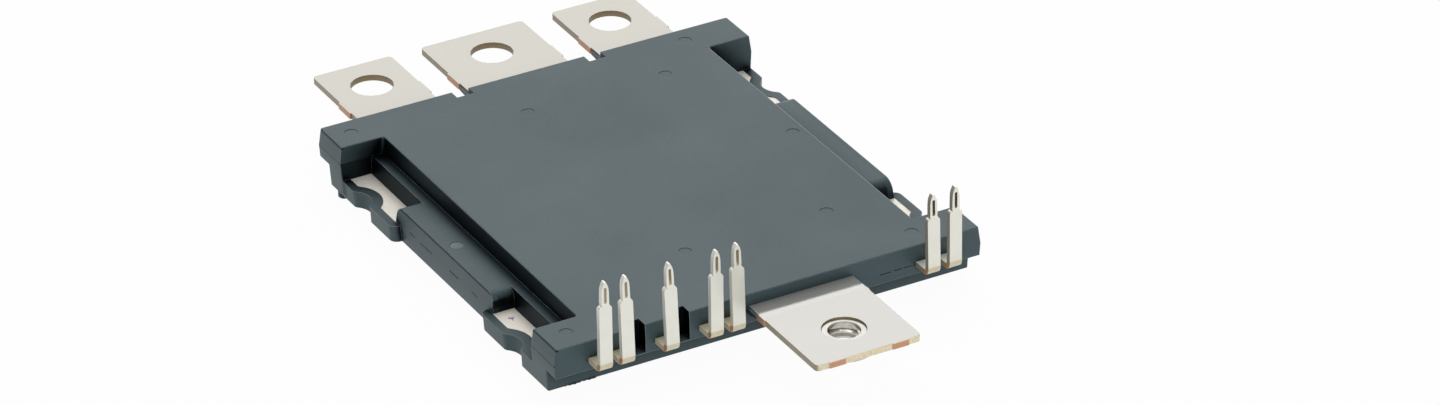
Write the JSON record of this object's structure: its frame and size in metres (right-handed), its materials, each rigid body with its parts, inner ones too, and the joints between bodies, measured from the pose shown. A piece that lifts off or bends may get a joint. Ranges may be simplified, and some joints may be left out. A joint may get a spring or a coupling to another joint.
{
  "type": "silicon carbide mosfet module",
  "caption": "Moulded half-bridge power module with flat copper terminals, upright press-fit signal pins, side windows with screw notches and a flat cooling plate underneath.",
  "frame": {"origin": "middle of the flat cooling face, on its plane", "axes": "+Z out of the cooling face towards the pin tips, +Y towards the three direct current terminals, +X to the right seen from the phase terminal"},
  "size_m": [0.0684, 0.1097, 0.0204],
  "materials": {
    "mold_compound": "fine matt moulded texture, dark grey",
    "plated_copper": "satin nickel plating over copper",
    "pin_plating": "bright tin plating over copper",
    "nut_steel": "zinc-plated steel",
    "bare_copper": "bare copper",
    "solder": "dull solder",
    "ceramic": "unglazed pale ceramic",
    "die": "polished semiconductor with metal pads",
    "aluminium_ribbon": "bright aluminium"
  },
  "bodies": {
    "root": {"ac_terminal": "plated_copper", "clinch_nut": "nut_steel", "cooling_plate": "plated_copper", "dc_minus_terminal_left": "plated_copper", "dc_minus_terminal_right": "plated_copper", "dc_plus_terminal": "plated_copper", "high_side_back_copper": "bare_copper", "high_side_ceramic": "ceramic", "high_side_die_1": "die", "high_side_die_2": "die", "high_side_die_3": "die", "high_side_die_4": "die", "high_side_die_5": "die", "high_side_die_6": "die", "high_side_drain_copper": "bare_copper", "high_side_gate_ribbons": "aluminium_ribbon", "high_side_gate_track": "bare_copper", "high_side_sense_ribbons": "aluminium_ribbon", "high_side_sense_track": "bare_copper", "high_side_solder": "solder", "low_side_back_copper": "bare_copper", "low_side_ceramic": "ceramic", "low_side_die_1": "die", "low_side_die_2": "die", "low_side_die_3": "die", "low_side_die_4": "die", "low_side_die_5": "die", "low_side_die_6": "die", "low_side_drain_copper": "bare_copper", "low_side_gate_ribbons": "aluminium_ribbon", "low_side_gate_track": "bare_copper", "low_side_sense_ribbons": "aluminium_ribbon", "low_side_sense_track": "bare_copper", "low_side_solder": "solder", "mold_body": "mold_compound", "pin_ribbons": "aluminium_ribbon", "signal_pads": "bare_copper", "signal_pin_1": "pin_plating", "signal_pin_2": "pin_plating", "signal_pin_3": "pin_plating", "signal_pin_4": "pin_plating", "signal_pin_5": "pin_plating", "signal_pin_6": "pin_plating", "signal_pin_7": "pin_plating", "source_clip_left": "bare_copper", "source_clip_right": "bare_copper", "thermistor": "ceramic"}
  },
  "joints": []
}
